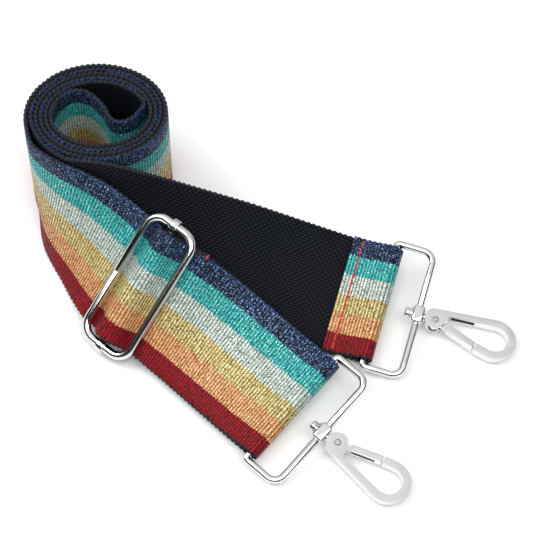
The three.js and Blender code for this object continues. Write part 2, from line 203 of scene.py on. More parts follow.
ARM_A = Arm(
    spiral_run(RADIUS_A, 870, 915, 15)
    + [(-91.9, 25.4), (-84.2, 13.5), (-69.3, 0.2), (-46.8, -19.8), (-17.8, -44.3), (10, -69.3)],
    4, -15.7, -3, 51.6, SLIDER_AT - 15, 30,
)
ARM_B = Arm(
    spiral_run(RADIUS_B, 930, 960, 15) + [(-70.2, 15.9), (-48.3, 3.9), (-5, -7.8), (45.2, -22.6)],
    2, -8.4, 1.7, 49.7,
)


def arc(x, y, radius, start, end, count):
    angles = [math.radians(start + (end - start) * i / count) for i in range(count + 1)]
    return [(x + radius * math.cos(a), y + radius * math.sin(a)) for a in angles]


def smooth_line(points, step):
    return [(p.x, p.y) for p in Curve([(s, h, 0) for s, h in points]).spaced(step)]


def on_arm(arm, points):
    out = []
    for s, h in points:
        middle, _, across, normal = arm.frame(s)
        out.append((middle + normal * h, across))
    return out


def webbing_route():
    """(point, way across) from the end of tab B, round ring B, the roll, the slider and ring A to tab A."""
    low = LAYER_HEIGHT
    b = ARM_B.length
    end_tab = [(b - 17, 2 * low + 1.15), (b - 12, 2 * low + 1.2), (b - 6, 4.4)]
    fold_b = arc(b, RING_BAR_HEIGHT, FOLD_RADIUS, 90, -90, 6)
    under_b = [(b - 8, low), (b - 40, low), (b - 90, low), (10, low), (0, 0.5), (-ARM_B.zero, 0)]
    arm_b = smooth_line(end_tab + fold_b + under_b[:1], 0.5) + smooth_line(under_b, 0.8)[1:]
    plan = spiral_run(RADIUS_B, 930, 130, 20) + CORE + spiral_run(RADIUS_A, 20, 870, 20)
    roll = Curve([(x, y, WEB_WIDTH / 2) for x, y in plan], 3000).spaced(0.8)
    a = ARM_A.length
    c = SLIDER_AT
    before = [(-ARM_A.zero, 0), (-14, 0), (4, low), (c - 34, low), (c - 24, 2.2), (c - 16, 4.4)]
    over = arc(c, SLIDER_PLANE, TAB_RADIUS + LAYER_PITCH, 150, 30, 6)
    hump = [(c - 11.3, 5), (c - 8.4, 5.3), (c - 6.2, 6.8)] + over
    hump += [(c + 6.2, 6.8), (c + 8.4, 5.3), (c + 11.3, 5)]
    after = [(c + 17.5, 5), (c + 25, 3.6), (c + 34, 3), (a - 22, 3), (a - 10, 4.2), (a - 4, 5.6)]
    fold_a = arc(a, RING_BAR_HEIGHT, FOLD_RADIUS, 90, -90, 6)
    back = [(a - 8, low), (a - 40, low), (c + 20, low), (c + 10, low), (c + 6.5, 1.5), (c + 3.4, 3.8)]
    back += arc(c, SLIDER_PLANE, TAB_RADIUS, 270, 30, 10)
    back += [(c + 4.3, 5.9), (c + 6.6, 3.9), (c + 9.5, 2.95), (c + 13, 2.95), (c + 17, 2.95)]
    arm_a = smooth_line(before, 0.8)
    arm_a += smooth_line([before[-1], *hump, after[0]], 0.5)[1:]
    arm_a += smooth_line(after, 0.8)[1:]
    arm_a += smooth_line([after[-1], *fold_a, back[0]], 0.5)[1:]
    arm_a += smooth_line(back, 0.6)[1:]
    upright = Vector((0, 0, 1))
    return on_arm(ARM_B, arm_b) + [(p, upright) for p in roll[1:]] + on_arm(ARM_A, arm_a)[1:]


def evenly(route, step):
    """The route again with its stations an even step apart: (distance, point, across)."""
    distances = [0.0]
    for (here, _), (there, _) in zip(route, route[1:]):
        distances.append(distances[-1] + (there - here).length)
    count = round(distances[-1] / step)
    out = []
    i = 0
    for k in range(count + 1):
        d = distances[-1] * k / count
        while i < len(route) - 2 and distances[i + 1] < d:
            i += 1
        f = (d - distances[i]) / (distances[i + 1] - distances[i])
        point = route[i][0].lerp(route[i + 1][0], f)
        across = route[i][1].lerp(route[i + 1][1], f).normalized()
        out.append((d, point, across))
    return out


# ---- from the layout to the part's frame ----
slider_middle, slider_along, slider_across, slider_normal = ARM_A.frame(SLIDER_AT)
slider_centre = slider_middle + slider_normal * SLIDER_PLANE
bar_low, bar_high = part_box("slider_centre_bar")
SHIFT = (bar_low + bar_high) / 2 / MM - slider_centre
TO_PART = Matrix.Scale(MM, 4) @ Matrix.Translation(SHIFT)


def add_piece(name, mesh, materials, body, local=Matrix.Identity(4), replaced=()):
    mesh.transform(TO_PART @ local)
    for material in materials:
        mesh.materials.append(material)
    piece = bpy.data.objects.new(name, mesh)
    bpy.context.scene.collection.objects.link(piece)
    for polygon in mesh.polygons:
        polygon.use_smooth = True
    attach(piece, body)
    if replaced:
        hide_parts(*replaced)
    return piece


def mesh_of(name, vertices, faces):
    mesh = bpy.data.meshes.new(name)
    mesh.from_pydata([tuple(v) for v in vertices], [], faces)
    return mesh


def rings_mesh(name, rings, closed=False):
    """A tube through rings of points, with flat ends unless it closes on itself."""
    sides = len(rings[0])
    vertices = [p for ring in rings for p in ring]
    faces = []
    count = len(rings)
    for i in range(count if closed else count - 1):
        for k in range(sides):
            a, b = i * sides + k, i * sides + (k + 1) % sides
            c, d = ((i + 1) % count) * sides + (k + 1) % sides, ((i + 1) % count) * sides + k
            faces.append((a, b, c, d))
    if not closed:
        faces.append(tuple(reversed(range(sides))))
        faces.append(tuple((count - 1) * sides + k for k in range(sides)))
    return mesh_of(name, vertices, faces)


def joined(name, meshes):
    """One mesh from several, with every face turned outwards."""
    whole = bmesh.new()
    for mesh in meshes:
        whole.from_mesh(mesh)
        bpy.data.meshes.remove(mesh)
    bmesh.ops.recalc_face_normals(whole, faces=whole.faces)
    out = bpy.data.meshes.new(name)
    whole.to_mesh(out)
    whole.free()
    return out


# ---- materials ----
class Graph:
    """A material's node tree, written as expressions."""

    def __init__(self, name):
        self.material = bpy.data.materials.new(name)
        self.material.use_nodes = True
        self.tree = self.material.node_tree
        self.shader = self.tree.nodes["Principled BSDF"]

    def set(self, socket, value):
        if isinstance(value, bpy.types.NodeSocket):
            self.tree.links.new(value, socket)
        else:
            socket.default_value = value

    def node(self, kind, inputs=(), **settings):
        node = self.tree.nodes.new(kind)
        for key, value in settings.items():
            setattr(node, key, value)
        for key, value in dict(inputs).items():
            self.set(node.inputs[key], value)
        return node

    def math(self, operation, a, b=0.0, c=0.0, clamp=False):
        node = self.node("ShaderNodeMath", {0: a, 1: b, 2: c}, operation=operation, use_clamp=clamp)
        return node.outputs[0]

    def add(self, a, b):
        return self.math("ADD", a, b)

    def times(self, a, b):
        return self.math("MULTIPLY", a, b)

    def ramp(self, value, low, high, out_low=0.0, out_high=1.0):
        """A smooth rise from low to high."""
        inputs = {"Value": value, "From Min": low, "From Max": high, "To Min": out_low, "To Max": out_high}
        return self.node("ShaderNodeMapRange", inputs, interpolation_type="SMOOTHSTEP").outputs["Result"]

    def mix(self, factor, a, b):
        node = self.node("ShaderNodeMix", data_type="RGBA")
        self.set(node.inputs[0], factor)
        self.set(node.inputs[6], a)
        self.set(node.inputs[7], b)
        return node.outputs[2]

    def bump(self, height, strength, distance):
        inputs = {"Height": height, "Strength": strength, "Distance": distance}
        self.set(self.shader.inputs["Normal"], self.node("ShaderNodeBump", inputs).outputs[0])


def linear(red, green, blue):
    """A colour as it is seen on a screen, from 0 to 255, as the shader wants it."""
    return tuple(
        c / 255 / 12.92 if c <= 10 else ((c / 255 + 0.055) / 1.055) ** 2.4 for c in (red, green, blue)
    ) + (1.0,)


# From the red edge to the blue one: (dark thread, body, glint, share that is dark, share that glints).
# The dark thread colour is also painted into the gaps of the weave as shade.
# The glint colour is the glitter thread's own tone, painted bright as a sparkle highlight.
STRIPES = [
    (linear(30, 0, 3), linear(164, 0, 22), linear(214, 40, 62), 0.34, 0.10),
    (linear(84, 38, 16), linear(226, 158, 100), linear(255, 222, 172), 0.24, 0.24),
    (linear(62, 46, 16), linear(214, 190, 118), linear(255, 246, 190), 0.26, 0.26),
    (linear(50, 66, 60), linear(192, 208, 196), linear(252, 255, 252), 0.24, 0.28),
    (linear(2, 48, 54), linear(36, 182, 180), linear(170, 246, 238), 0.26, 0.22),
    (linear(0, 1, 8), linear(26, 50, 96), linear(140, 180, 230), 0.58, 0.20),
]
# The rim's charcoal: the darker one is its painted shade where the turns tuck under, the lighter one its
# painted light on their tops.
CHARCOAL = linear(14, 16, 21)
CHARCOAL_PAINTED_LIGHT = linear(48, 51, 61)
PERIMETER = 2 * WEB_WIDTH + 6


def webbing_places(g):
    """Millimetres along the webbing and round its section, from the face's red edge."""
    uv = g.node("ShaderNodeUVMap", uv_map="webbing").outputs[0]
    split = g.node("ShaderNodeSeparateXYZ", {0: uv})
    along = g.times(split.outputs[0], WEB_WIDTH)
    around = g.times(split.outputs[1], PERIMETER)
    return along, around


def stripe_ramp(g, place, colours):
    node = g.node("ShaderNodeValToRGB", {0: place})
    ramp = node.color_ramp
    ramp.interpolation = "CONSTANT"
    while len(ramp.elements) < len(colours):
        ramp.elements.new(0.5)
    for i, colour in enumerate(colours):
        ramp.elements[i].position = i / len(colours)
        ramp.elements[i].color = colour
    return node.outputs


def face_material():
    g = Graph("glitter_webbing_face")
    along, around = webbing_places(g)
    rib = g.math("FRACT", g.times(along, 1 / RIB_PITCH))
    rib_number = g.math("FLOOR", g.times(along, 1 / RIB_PITCH))
    rib_height = g.math("SINE", g.times(rib, math.pi))
    # Every second rib's threads are half a thread further on.
    offset = g.times(g.math("MODULO", rib_number, 2), 0.42)
    thread = g.math("FRACT", g.times(g.add(around, offset), 1 / 0.84))
    thread_height = g.math("SINE", g.times(thread, math.pi))
    plane = g.node("ShaderNodeCombineXYZ", {0: along, 1: around}).outputs[0]
    flecks = g.node("ShaderNodeTexVoronoi", {"Vector": plane, "Scale": 3.4}, voronoi_dimensions="2D")
    fleck = g.node("ShaderNodeSeparateColor", {0: flecks.outputs["Color"]}).outputs
    fine = g.node("ShaderNodeTexNoise", {"Vector": plane, "Scale": 1.3, "Detail": 3}, noise_dimensions="2D")
    jitter = g.times(g.add(fleck[1], -0.5), 0.5)
    place = g.times(g.add(around, jitter), 1 / WEB_WIDTH)
    dark_thread_and_gap_shade = stripe_ramp(g, place, [s[0][:3] + (s[3],) for s in STRIPES])
    body = stripe_ramp(g, place, [s[1] for s in STRIPES])
    glitter_and_painted_glint = stripe_ramp(g, place, [s[2][:3] + (s[4],) for s in STRIPES])
    chance = g.add(g.times(fleck[0], 0.8), g.times(fine.outputs[0], 0.2))
    is_dark = g.ramp(g.math("SUBTRACT", dark_thread_and_gap_shade[1], chance), -0.06, 0.08)
    # Painted highlight: glitter specks take the bright glint colour, which is partly the thread's own tone.
    is_glitter_and_painted_glint = g.ramp(g.math("SUBTRACT", chance, g.math("SUBTRACT", 0.94, glitter_and_painted_glint[1])), -0.02, 0.12)
    # Painted shade: the gaps between ribs and between threads take the dark thread colour.
    gap = g.times(g.ramp(rib_height, 0.35, 0.97, 1.0, 0.0), g.ramp(thread_height, 0.1, 0.95, 1.0, 0.66))
    colour = g.mix(g.math("MAXIMUM", is_dark, gap), body[0], dark_thread_and_gap_shade[0])
    colour = g.mix(g.times(is_glitter_and_painted_glint, g.math("SUBTRACT", 1.0, g.times(gap, 0.8))), colour, glitter_and_painted_glint[0])
    g.set(g.shader.inputs["Base Color"], colour)
    g.set(g.shader.inputs["Metallic"], g.times(is_glitter_and_painted_glint, 0.35))
    g.set(g.shader.inputs["Roughness"], g.ramp(is_glitter_and_painted_glint, 0.0, 1.0, 0.62, 0.3))
    g.shader.inputs["Specular IOR Level"].default_value = 0.25
    height = g.add(g.times(rib_height, 0.5), g.times(thread_height, 0.25))
    g.bump(g.add(height, g.times(fleck[2], 0.6)), 0.7, 0.00026)
    return g.material


def back_material():
    g = Graph("charcoal_webbing_back")
    along, around = webbing_places(g)
    row_place = g.times(around, 1 / 1.1)
    row = g.math("FLOOR", row_place)
    shifted = g.add(g.times(along, 1 / 2.2), g.times(g.math("MODULO", row, 2), 0.5))
    du = g.math("ABSOLUTE", g.add(g.math("FRACT", shifted), -0.5))
    dv = g.math("ABSOLUTE", g.add(g.math("FRACT", row_place), -0.5))
    # Each float of the weave is a lozenge, long along the webbing.
    lozenge = g.ramp(g.add(g.times(du, 0.9), g.times(dv, 1.1)), 0.2, 0.62, 1.0, 0.0)
    plane = g.node("ShaderNodeCombineXYZ", {0: along, 1: around}).outputs[0]
    fibres = g.node("ShaderNodeTexNoise", {"Vector": plane, "Scale": 4.0, "Detail": 3}, noise_dimensions="2D")
    fuzz = fibres.outputs[0]
    # Painted light: the raised floats are painted lighter and the gaps between them dark as shade, varied by
    # the fibre noise.
    painted_light = g.times(lozenge, g.ramp(fuzz, 0.25, 0.75, 0.35, 1.0))
    g.set(g.shader.inputs["Base Color"], g.mix(painted_light, linear(2, 3, 5), linear(40, 45, 55)))
    g.set(g.shader.inputs["Roughness"], g.ramp(fuzz, 0.2, 0.8, 0.6, 0.85))
    g.shader.inputs["Specular IOR Level"].default_value = 0.1
    g.bump(g.add(lozenge, g.times(fuzz, 0.3)), 0.6, 0.00022)
    return g.material


def selvage_material():
    g = Graph("charcoal_selvage")
    along, around = webbing_places(g)
    plane = g.node("ShaderNodeCombineXYZ", {0: along, 1: around}).outputs[0]
    fibres = g.node("ShaderNodeTexNoise", {"Vector": plane, "Scale": 3.0, "Detail": 3}, noise_dimensions="2D")
    fuzz = fibres.outputs[0]
    flecks = g.node("ShaderNodeTexVoronoi", {"Vector": plane, "Scale": 2.0}, voronoi_dimensions="2D")
    fleck = g.node("ShaderNodeSeparateColor", {0: flecks.outputs["Color"]}).outputs
    # Glitter thread of the outermost stripe shows along the rim's face side, in flecks painted brighter than
    # the thread as sparkle highlights.
    near_face = g.ramp(around, WEB_WIDTH + 0.2, WEB_WIDTH + 1.4, 0.45, 0.0)
    blue_side = g.ramp(around, WEB_WIDTH - 1, WEB_WIDTH - 0.5)
    glitter_and_painted_glint = g.times(g.ramp(g.add(fleck[0], g.times(near_face, blue_side)), 1.1, 1.18), blue_side)
    # The thread that winds round the rim is painted with shade where one turn tucks under the next, and
    # painted lighter on each turn's top.
    turn = g.math("COSINE", g.times(along, 2 * math.pi / ROPE_PITCH))
    painted_light = g.times(g.ramp(turn, -0.9, 0.5, 0.1, 1.0), g.ramp(fuzz, 0.25, 0.75, 0.3, 1.0))
    colour = g.mix(painted_light, CHARCOAL, CHARCOAL_PAINTED_LIGHT)
    colour = g.mix(glitter_and_painted_glint, colour, linear(62, 96, 176))
    g.set(g.shader.inputs["Base Color"], colour)
    g.set(g.shader.inputs["Roughness"], g.ramp(fuzz, 0.2, 0.8, 0.55, 0.8))
    g.shader.inputs["Specular IOR Level"].default_value = 0.25
    g.bump(fuzz, 0.5, 0.0002)
    return g.material


def thread_material():
    g = Graph("orange_thread")
    place = g.node("ShaderNodeTexCoord").outputs["Object"]
    twist = g.node("ShaderNodeTexNoise", {"Vector": place, "Scale": 4000.0, "Detail": 2}).outputs[0]
    orange = g.mix(g.ramp(twist, 0.3, 0.7), linear(140, 30, 10), linear(214, 74, 30))
    g.set(g.shader.inputs["Base Color"], orange)
    g.set(g.shader.inputs["Roughness"], g.ramp(twist, 0.2, 0.8, 0.45, 0.7))
    g.bump(twist, 0.4, 0.0001)
    return g.material


def metal_material(name, tone, roughness, wave):
    """Plated metal, with faint polishing waves and scattered fine handling marks."""
    g = Graph(name)
    place = g.node("ShaderNodeTexCoord").outputs["Object"]
    waves = g.node("ShaderNodeTexNoise", {"Vector": place, "Scale": 160.0, "Detail": 1}).outputs[0]
    marks = g.node("ShaderNodeTexNoise", {"Vector": place, "Scale": 2600.0, "Detail": 4}).outputs[0]
    shade = tuple(c * 0.94 for c in tone[:3]) + (1.0,)
    g.set(g.shader.inputs["Base Color"], g.mix(g.ramp(marks, 0.35, 0.65), shade, tone))
    g.shader.inputs["Metallic"].default_value = 1.0
    g.set(g.shader.inputs["Roughness"], g.ramp(marks, 0.3, 0.8, roughness, roughness + 0.1))
    g.bump(g.add(waves, g.times(marks, 0.04)), wave, 0.0004)
    return g.material


FACE = face_material()
BACK = back_material()
SELVAGE = selvage_material()
THREAD = thread_material()
NICKEL = metal_material("polished_nickel", (0.8, 0.8, 0.81, 1.0), 0.06, 0.08)
STEEL = metal_material("satin_steel", (0.62, 0.63, 0.65, 1.0), 0.28, 0.2)
# Painted shade: rougher metal, its colour painted near black, for the faces inside the hook's recess and the
# gate's groove.
RECESS_PAINTED_SHADE = metal_material("recess_painted_shade", (0.12, 0.12, 0.125, 1.0), 0.5, 0.3)


# ---- the webbing ----
def webbing_section():
    """Points round the section: (across, outward in thickness, edge angle or None, mm round, material)."""
    flat = WEB_WIDTH / 2 - EDGE_RADIUS
    face_count = 16
    back_count = 10
    edge_count = 8
    out = []
    for i in range(face_count):
        x = -flat + 2 * flat * i / face_count
        out.append((x, 1, None, WEB_WIDTH / 2 + x, 0))
    for i in range(edge_count):
        out.append((flat, 0, math.pi / 2 - math.pi * i / edge_count, WEB_WIDTH + 3 * i / edge_count, 2))
    for i in range(back_count):
        x = flat - 2 * flat * i / back_count
        out.append((x, -1, None, WEB_WIDTH + 3 + WEB_WIDTH / 2 - x, 1))
    for i in range(edge_count):
        around = 2 * WEB_WIDTH + 3 + 3 * i / edge_count
        out.append((-flat, 0, -math.pi / 2 - math.pi * i / edge_count, around, 2))
    return out


def build_webbing():
    section = webbing_section()
    stations = evenly(webbing_route(), STATION)
    vertices = []
    for i, (distance, point, across) in enumerate(stations):
        before = stations[max(i - 1, 0)][1]
        after = stations[min(i + 1, len(stations) - 1)][1]
        normal = (after - before).cross(across).normalized()
        rib = RIB_RISE * math.sin(math.pi * distance / RIB_PITCH) ** 2
        for x, side, edge, _, _ in section:
            if edge is None:
                height = HALF_THICK + (rib if side > 0 else rib * 0.5)
                vertices.append(point + across * x + normal * (side * height))
                continue
            lobe = math.cos(2 * math.pi * distance / ROPE_PITCH + 1.3 * edge)
            radius = EDGE_RADIUS + ROPE_RISE * (lobe - 0.6)
            sign = 1 if x > 0 else -1
            spread = radius * abs(math.cos(edge)) * sign
            vertices.append(point + across * (x + spread) + normal * (radius * math.sin(edge)))
    count = len(section)
    faces = []
    slots = []
    places = []
    for i in range(len(stations) - 1):
        u0, u1 = stations[i][0] / WEB_WIDTH, stations[i + 1][0] / WEB_WIDTH
        for k in range(count):
            j = (k + 1) % count
            v0 = section[k][3] / PERIMETER
            v1 = section[j][3] / PERIMETER if j else 1.0
            faces.append((i * count + k, i * count + j, (i + 1) * count + j, (i + 1) * count + k))
            places.append(((u0, v0), (u0, v1), (u1, v1), (u1, v0)))
            slots.append(section[k][4])
    last = (len(stations) - 1) * count
    for ends in (tuple(reversed(range(count))), tuple(last + k for k in range(count))):
        faces.append(ends)
        places.append(((0.0, 0.98),) * count)
        slots.append(2)
    mesh = mesh_of("strap_webbing", vertices, faces)
    layer = mesh.uv_layers.new(name="webbing")
    for polygon, slot, corners in zip(mesh.polygons, slots, places):
        polygon.material_index = slot
        for loop, uv in zip(polygon.loop_indices, corners):
            layer.data[loop].uv = uv
    turned = bmesh.new()
    turned.from_mesh(mesh)
    if turned.calc_volume(signed=True) < 0:
        bmesh.ops.reverse_faces(turned, faces=turned.faces)
    turned.to_mesh(mesh)
    turned.free()
    return add_piece(
        "strap_webbing", mesh, (FACE, BACK, SELVAGE), "webbing", replaced=("webbing",)
    )


def stitch(start, end, up, thick=0.42):
    """One stitch: a thread that comes up, lies over the webbing and goes down again."""
    way = (end - start).normalized()
    side = way.cross(up).normalized()
    steps = 8
    rings = []
    for i in range(steps + 1):
        f = i / steps
        lift = 0.42 * math.sin(math.pi * f) ** 0.5 - 0.3 if 0 < f < 1 else -0.45
        middle = start.lerp(end, f) + up * lift
        rings.append([
            middle + side * (thick * math.cos(a)) + up * (thick * 0.8 * math.sin(a))
            for a in (2 * math.pi * k / 8 for k in range(8))
        ])
    return rings_mesh("stitch", rings)


def build_stitching(name, node, arm, s, height, body, loose_end=False):
    middle, along, across, normal = arm.frame(s)
    pitch = 3.4
    count = 14
    stitches = []
    for i in range(count):
        first = (i - count / 2) * pitch + 0.2
        start = middle + normal * height + across * first
        stitches.append(stitch(start, start + across * (pitch - 0.4), normal))
    if loose_end:
        # The seam's thread ends in a short loop that stands out past the blue edge.
        start = middle + normal * (height + 1.7) + across * (WEB_WIDTH / 2 - 0.6) + along * 4.5
        stitches.append(stitch(start, start + across * 1.9, normal))
    return add_piece(name, joined(name, stitches), (THREAD,), body, replaced=(node,))


# ---- wires ----
def cornered(points, radii, steps=12):
    """Points down the middle of a bent wire in the XY plane, with an arc at each inner corner."""
    points = [Vector(p) for p in points]
    out = [points[0]]
    for i, radius in enumerate(radii, 1):
        back = (points[i - 1] - points[i]).normalized()
        ahead = (points[i + 1] - points[i]).normalized()
        half = back.angle(ahead) / 2
        centre = points[i] + (back + ahead).normalized() * (radius / math.sin(half))
        start = points[i] + back * (radius / math.tan(half)) - centre
        end = points[i] + ahead * (radius / math.tan(half)) - centre
        axis = start.cross(end).normalized()
        for k in range(steps + 1):
            out.append(centre + Matrix.Rotation(start.angle(end) * k / steps, 3, axis) @ start)
    out.append(points[-1])
    return out


def wire_mesh(path, radius, sides=28, bevel=0.25):
    """A round wire along a flat path, with slightly rounded ends."""
    up = Vector((0, 0, 1))
    rings = []
    last = len(path) - 1
    for i, point in enumerate(path):
        along = (path[min(i + 1, last)] - path[max(i - 1, 0)]).normalized()
        side = along.cross(up).normalized()
        sizes = [(0, radius)]
        if i == 0:
            sizes = [(0, radius - bevel), (bevel * 0.3, radius - bevel * 0.3), (bevel, radius)]
        if i == last:
            sizes = [(-bevel, radius), (-bevel * 0.3, radius - bevel * 0.3), (0, radius - bevel)]
        for ahead, size in sizes:
            middle = point + along * ahead
            angles = [2 * math.pi * k / sides for k in range(sides)]
            rings.append([
                middle + side * (size * math.cos(a)) + up * (size * math.sin(a)) for a in angles
            ])
    return rings_mesh("wire", rings)


def lathe_mesh(profile, sides=40):
    """A solid of revolution about X from (distance, radius) points, closed at its ends."""
    rings = []
    for x, radius in profile:
        angles = [2 * math.pi * k / sides for k in range(sides)]
        rings.append([Vector((x, radius * math.cos(a), radius * math.sin(a))) for a in angles])
    return rings_mesh("lathe", rings)


def hollow_lathe_mesh(profile, sides=40):
    """A ring of revolution about X from a closed profile."""
    rings = []
    for k in range(sides):
        a = 2 * math.pi * k / sides
        rings.append([Vector((x, radius * math.cos(a), radius * math.sin(a))) for x, radius in profile])
    return rings_mesh("collar", rings, closed=True)


def rounded_box_mesh(size, centre, radius, segments=4):
    box = bmesh.new()
    bmesh.ops.create_cube(box, size=1)
    bmesh.ops.scale(box, vec=Vector(size), verts=box.verts)
    bmesh.ops.bevel(
        box, geom=list(box.edges) + list(box.verts), offset=radius, segments=segments, profile=0.5,
        affect="EDGES",
    )
    bmesh.ops.translate(box, vec=Vector(centre), verts=box.verts)
    mesh = bpy.data.meshes.new("box")
    box.to_mesh(mesh)
    box.free()
    return mesh


def basis(origin, x, y, z):
    out = Matrix((x, y, z)).transposed().to_4x4()
    out.translation = origin
    return out


def sharpened(piece, angle=35):
    """Smooth shading, apart from edges sharper than the angle."""
    piece.data.set_sharp_from_angle(angle=math.radians(angle))


def build_slider():
    local = basis(slider_centre, slider_along, slider_across, slider_normal)
    x = (SLIDER_WIDTH - SLIDER_WIRE) / 2
    y = (SLIDER_LENGTH - SLIDER_WIRE) / 2
    gap = 0.12
    corners = [(-x, gap, 0), (-x, y, 0), (x, y, 0), (x, -y, 0), (-x, -y, 0), (-x, -gap, 0)]
    path = cornered(corners, [SLIDER_CORNER] * 4)
    wire = wire_mesh(path, SLIDER_WIRE / 2)
    weld = lathe_mesh([(-0.2, 0.4), (-0.2, 1.5), (0.2, 1.5), (0.2, 0.4)])
    weld.transform(Matrix.Translation((-x, 0, 0)) @ Matrix.Rotation(math.pi / 2, 4, "Z"))
    frame_piece = add_piece(
        "slider_wire_frame", joined("slider_wire_frame", [wire, weld]), (NICKEL,), "slider_frame",
        local, ("slider_frame",),
    )
    # The loose bar is a rod with a rolled collar round each short side of the frame.
    bore, wall, length = 1.92, 1.0, 3.4
    meshes = [lathe_mesh([
        (-y + bore, 0.9), (-y + bore + 0.1, 1.5), (y - bore - 0.1, 1.5), (y - bore, 0.9),
    ])]
    meshes[0].transform(Matrix.Rotation(math.pi / 2, 4, "Z"))
    h = length / 2
    profile = [(-h, bore), (-h, bore + wall - 0.35), (-h + 0.12, bore + wall - 0.1), (-h + 0.4, bore + wall),
               (h - 0.4, bore + wall), (h - 0.12, bore + wall - 0.1), (h, bore + wall - 0.35), (h, bore)]
    for side in (-1, 1):
        collar = hollow_lathe_mesh(profile)
        collar.transform(Matrix.Translation((0, side * y, 0)))
        meshes.append(collar)
    bar_piece = add_piece(
        "slider_loose_bar", joined("slider_loose_bar", meshes), (NICKEL,), "slider_bar",
        local, ("slider_centre_bar",),
    )
    sharpened(frame_piece)
    sharpened(bar_piece)


# ---- rings and hooks ----
def hook_outline():
    """The hook's outline in its own plane, and the middle of its nose's end."""
    cu, cv = LOOP_CENTRE
    outside = LOOP_RADIUS + BAR_WIDTH / 2
    inside = LOOP_RADIUS - BAR_WIDTH / 2
    nose_length = 5
    spine_angle, nose_angle = 262, 106
    nose = math.radians(nose_angle)
    tangent = Vector((-math.sin(nose), math.cos(nose)))
    radial = Vector((math.cos(nose), math.sin(nose)))
    nose_out = Vector(LOOP_CENTRE) + radial * outside + tangent * nose_length
    nose_in = Vector(LOOP_CENTRE) + radial * inside + tangent * nose_length
    points = arc(PLATE_RADIUS, 0, PLATE_RADIUS, 68, 250, 30)
    points += arc(cu, cv, outside, spine_angle, 360 + nose_angle, 44)
    points += [tuple(nose_out), tuple(nose_in)]
    points += arc(cu, cv, inside, 360 + nose_angle, spine_angle, 36)
    points += [(2 * PLATE_RADIUS + 0.5, -2.6), (2 * PLATE_RADIUS - 0.5, 1.2)]
    return points, (nose_out + nose_in) / 2


def extruded(outline, depth):
    solid = bmesh.new()
    low = [solid.verts.new((x, y, -depth / 2)) for x, y in outline]
    high = [solid.verts.new((x, y, depth / 2)) for x, y in outline]
    solid.faces.new(list(reversed(low)))
    solid.faces.new(high)
    for i in range(len(outline)):
        j = (i + 1) % len(outline)
        solid.faces.new((low[i], low[j], high[j], high[i]))
    bmesh.ops.recalc_face_normals(solid, faces=solid.faces)
    mesh = bpy.data.meshes.new("extruded")
    solid.to_mesh(mesh)
    solid.free()
    return mesh


def carved(mesh, cutters, bevel, segments=4):
    """The mesh less its cutters, with its sharp edges rounded."""
    target = bpy.data.objects.new("carved", mesh)
    bpy.context.scene.collection.objects.link(target)
    tools = []
    for cutter in cutters:
        tool = bpy.data.objects.new("cutter", cutter)
        bpy.context.scene.collection.objects.link(tool)
        cut = target.modifiers.new("cut", "BOOLEAN")
        cut.operation = "DIFFERENCE"
        cut.solver = "EXACT"
        cut.object = tool
        tools.append(tool)
    rounding = target.modifiers.new("rounding", "BEVEL")
    rounding.width = bevel
    rounding.segments = segments
    rounding.limit_method = "ANGLE"
    rounding.angle_limit = math.radians(40)
    bpy.context.view_layer.update()
    evaluated = target.evaluated_get(bpy.context.evaluated_depsgraph_get())
    out = bpy.data.meshes.new_from_object(evaluated)
    for thing in [target, *tools]:
        data = thing.data
        bpy.data.objects.remove(thing)
        bpy.data.meshes.remove(data)
    return out


def box_mesh(low, high):
    outline = [(low[0], low[1]), (high[0], low[1]), (high[0], high[1]), (low[0], high[1])]
    mesh = extruded(outline, high[2] - low[2])
    mesh.transform(Matrix.Translation((0, 0, (low[2] + high[2]) / 2)))
    return mesh


def recessed(mesh, low, high):
    """Gives the faces inside the box the rougher metal whose colour is painted near black as shade in the
    recess.
    """
    for face in mesh.polygons:
        if all(a < c < b for a, c, b in zip(low, face.center, high)):
            face.material_index = 1
    return mesh


